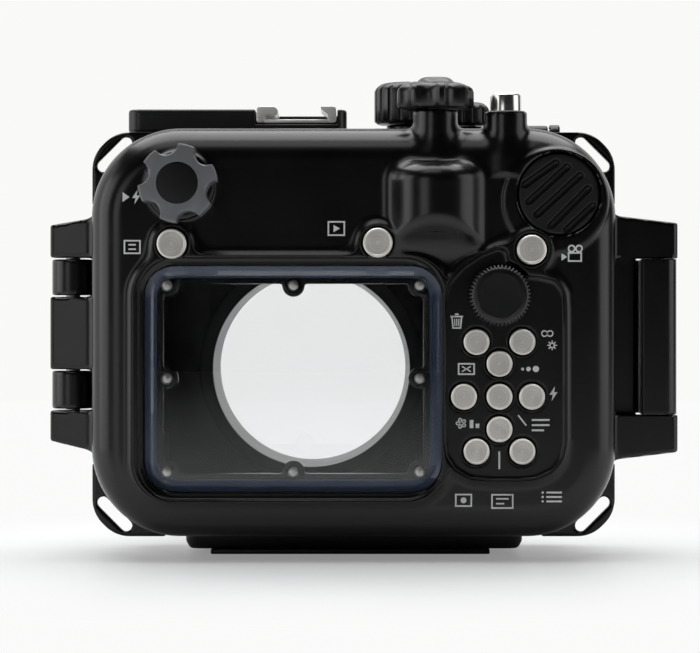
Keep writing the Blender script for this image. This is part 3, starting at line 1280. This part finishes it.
rear_shell()
front_shell()
flash_knob()
control_dial()
ev_knob()
fluted("mode_knob", MODE, 10.5, 122.1, 133.8, 20, 0.55, 6, 2)
fluted("zoom_knob", ZOOM, 6.2, 122.0, 128.8, 14, 0.45, 4, 1.8)
for name, (x, z) in BOSSES.items():
    push_button(name, x, z, 4.0, -30.6)
for name, (x, z) in KEYS.items():
    push_button(name, x, z, 3.5, -29.0)
power_button()
power_spring()
window_screws()
window_pane()
window_gasket()
spans = (44, 0.3, 67), (-30, 0.25, -27.4), (88.3, 0.3, 111.3)
moulded("thumb_rest", "_pad", thumb_field, spans, "rear_case", "rubber_black")
port()
cold_shoe()
base()
pin("hinge_pin", "front_case", "z", (HINGE, 0, 0), 2.0, 32.6, 92.0, 0.3)
pin("latch_pin", "rear_case", "z", (*LATCH_AXIS, 0), 1.6, 28.8, 93.0, 0.2)
pin("lever_pin", "front_case", "x", (0, *LEVER_AXIS), 1.2, 41.3, 58.7, 0.2)
shutter_lever()
latch()
printed_marks()

# The solids that stay as they are take the same finishes
FINISHES = {part["node"]: part["material_slot"] for part in frame["record"]["subparts"]}
for name, carried in frame["nodes"].items():
    carried.data.materials.clear()
    carried.data.materials.append(SLOTS[FINISHES[name]])


# Camera and light

PHOTO_WIDTH, FOCAL_PIXELS, SENSOR = 700, 2590, 36
CAMERA_AT = (-0.001, -0.73, 0.064)
AIM = Vector((0, 0, 0.06))
WHITE, FLOOR_WHITE, DIM = 0.95, 0.96, 0.008
# Soft lights that face the case: azimuth from the camera's side towards the right, elevation, distance,
# width, height and radiance
PANELS = {
    "left_panel": (-75, 10, 0.95, 0.6, 0.7, 2.0),
    "right_panel": (78, 10, 0.9, 0.6, 0.7, 1.5),
    "top_panel": (180, 79, 0.8, 1.1, 0.8, 4.3),
    "front_left_panel": (-27, 6, 1.9, 0.6, 0.7, 1.4),
    "key_light": (-14, 60, 1.4, 0.8, 0.5, 1.7),
}
scene = bpy.context.scene
lens = bpy.data.cameras.new("photo_camera")
lens.sensor_width = SENSOR
lens.lens = FOCAL_PIXELS / PHOTO_WIDTH * SENSOR
lens.clip_end = 50
camera = bpy.data.objects.new("photo_camera", lens)
camera.location = CAMERA_AT
camera.rotation_euler = (math.pi / 2, 0, 0)
scene.collection.objects.link(camera)
scene.camera = camera
scene.view_settings.view_transform = "Standard"


def panel(name, azimuth, elevation, distance, width, height, radiance):
    light = bpy.data.lights.new(name, "AREA")
    light.shape = "RECTANGLE"
    light.size, light.size_y = width, height
    light.energy = radiance * math.pi * width * height
    made = bpy.data.objects.new(name, light)
    turn, rise = math.radians(azimuth), math.radians(elevation)
    way = Vector((math.sin(turn) * math.cos(rise), -math.cos(turn) * math.cos(rise), math.sin(rise)))
    made.location = AIM + way * distance
    made.rotation_euler = (-way).to_track_quat("-Z", "Y").to_euler()
    scene.collection.objects.link(made)


for name, values in PANELS.items():
    panel(name, *values)


def maths(tree, operation, *sources):
    return node(tree, "ShaderNodeMath", *sources, operation=operation).outputs[0]


def sees_background(tree):
    """1 for camera rays and rays that only passed through clear pieces, so no inner reflection shows white."""
    paths = node(tree, "ShaderNodeLightPath").outputs
    bounces = maths(tree, "SUBTRACT", paths["Ray Depth"], paths["Transmission Depth"])
    straight = node(tree, "ShaderNodeMath", bounces, operation="LESS_THAN")
    straight.inputs[1].default_value = 0.5
    through = maths(tree, "MULTIPLY", paths["Is Transmission Ray"], straight.outputs[0])
    return maths(tree, "MAXIMUM", paths["Is Camera Ray"], through)


world = bpy.data.worlds.new("studio")
scene.world = world
world.use_nodes = True
sky = world.node_tree
sky.nodes.clear()
dim = node(sky, "ShaderNodeBackground", Color=(0.93, 0.96, 1.0, 1), Strength=DIM)
bright = node(sky, "ShaderNodeBackground", Color=(1, 1, 0.99, 1), Strength=WHITE)
between(sky, sees_background(sky), dim.outputs[0], bright.outputs[0])


def floor_finish():
    """A glossy white table near the case that turns into the white of the background further away."""
    colour = (0.72, 0.73, 0.74)
    made = finish("glossy_white", colour, 0.42, vary=0.01, rough_vary=0.02, grain=0.0, specular=0.3)
    tree = made.node_tree
    place = node(tree, "ShaderNodeNewGeometry").outputs["Position"]
    length = node(tree, "ShaderNodeVectorMath", place, operation="LENGTH").outputs["Value"]
    fade = mapped(tree, length, (0.07, 0.18), (0.25, 1), interpolation_type="SMOOTHSTEP")
    amount = maths(tree, "MULTIPLY", sees_background(tree), fade)
    glow = node(tree, "ShaderNodeEmission", Color=(1, 1, 0.995, 1), Strength=FLOOR_WHITE)
    between(tree, amount, tree.nodes["Principled BSDF"].outputs[0], glow.outputs[0])
    return made


def cove():
    """A white wall that curves round behind the case."""
    radius, height, start, span, count = 1500, 1300, -84, -150, 24
    points, faces = [], []
    for i in range(count + 1):
        turn = math.radians(start + span * i / count)
        points += [(radius * math.sin(turn), -radius * math.cos(turn), z) for z in (0, height)]
        if i:
            faces.append((2 * i - 2, 2 * i - 1, 2 * i + 1, 2 * i))
    wall = mesh_object("backdrop", points, faces)
    look = bpy.data.materials.new("white_wall")
    look.use_nodes = True
    tree = look.node_tree
    tree.nodes.remove(tree.nodes["Principled BSDF"])
    glow = node(tree, "ShaderNodeEmission", Color=(1, 1, 0.99, 1), Strength=WHITE)
    tree.links.new(glow.outputs[0], tree.nodes["Material Output"].inputs["Surface"])
    wall.data.materials.append(look)
    return wall


TABLE = [(-4000, -3000, 0), (4000, -3000, 0), (4000, 4000, 0), (-4000, 4000, 0)]
floor = mesh_object("floor", TABLE, [(0, 1, 2, 3)])
floor.data.materials.append(floor_finish())
cove()
